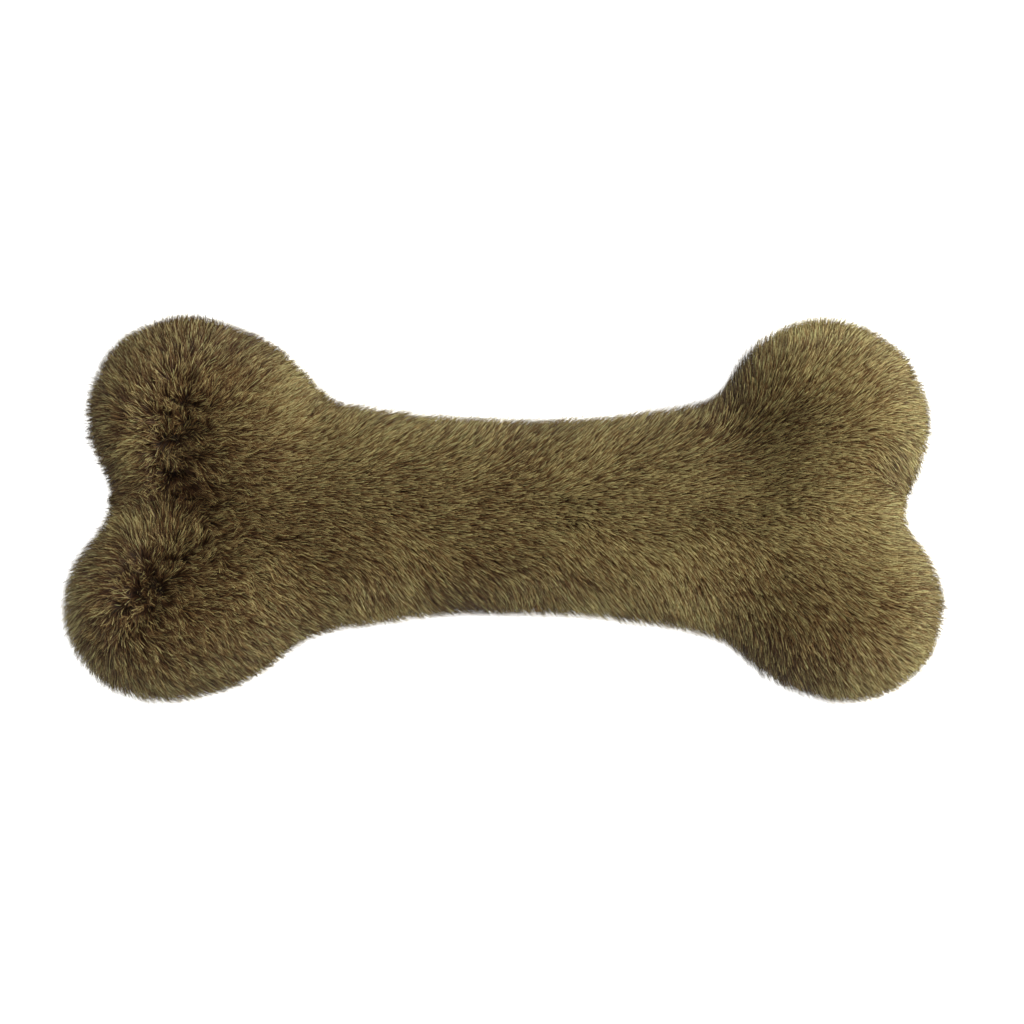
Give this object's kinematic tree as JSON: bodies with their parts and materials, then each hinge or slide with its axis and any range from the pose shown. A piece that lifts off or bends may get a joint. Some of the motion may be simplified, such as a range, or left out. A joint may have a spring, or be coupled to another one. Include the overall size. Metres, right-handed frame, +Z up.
{
  "type": "plush bone dog toy",
  "caption": "Stuffed faux fur toy in the shape of a bone, sewn from a front and a back panel, with a bellows squeaker inside.",
  "frame": {"origin": "middle of the bone's outline over the pile, on the floor that it lies on", "axes": "+X along the bone, towards the picture's right; +Y across it, towards the picture's top; +Z up, out of the front panel"},
  "size_m": [0.3002, 0.131, 0.0549],
  "materials": {
    "faux_fur": "long brown pile, matt",
    "thread": "polyester sewing thread",
    "fibre_fill": "white polyester fibre",
    "soft_plastic": "blow-moulded, matt",
    "rigid_plastic": "injection-moulded, satin",
    "reed_film": "thin stiff film"
  },
  "bodies": {
    "toy": {"fur_panel_front": "faux_fur", "fur_panel_back": "faux_fur", "seam_needle_thread": "thread", "seam_bobbin_thread": "thread", "shaft_filling_front": "fibre_fill", "shaft_filling_back": "fibre_fill", "left_far_filling": "fibre_fill", "left_near_filling": "fibre_fill", "right_far_filling": "fibre_fill", "right_near_filling": "fibre_fill", "squeaker_bellows": "soft_plastic"},
    "whistle": {"squeaker_plug": "rigid_plastic", "reed_holder": "rigid_plastic", "reed_clamp": "rigid_plastic"},
    "reed": {"reed": "reed_film"}
  },
  "joints": [
    {"name": "squeaker_squeeze", "type": "slide", "parent": "toy", "child": "whistle", "axis": [0, 0, -1], "range_m": [0, 0.008], "stiffness_N_per_m": 600, "deforming": ["squeaker_bellows"]},
    {"name": "reed_flex", "type": "hinge", "parent": "whistle", "child": "reed", "pos_m": [0.00425, -0.00236, 0.03685], "axis": [0, -1, 0], "range_deg": [0, 4], "stiffness_Nm_per_rad": 0.0002}
  ]
}
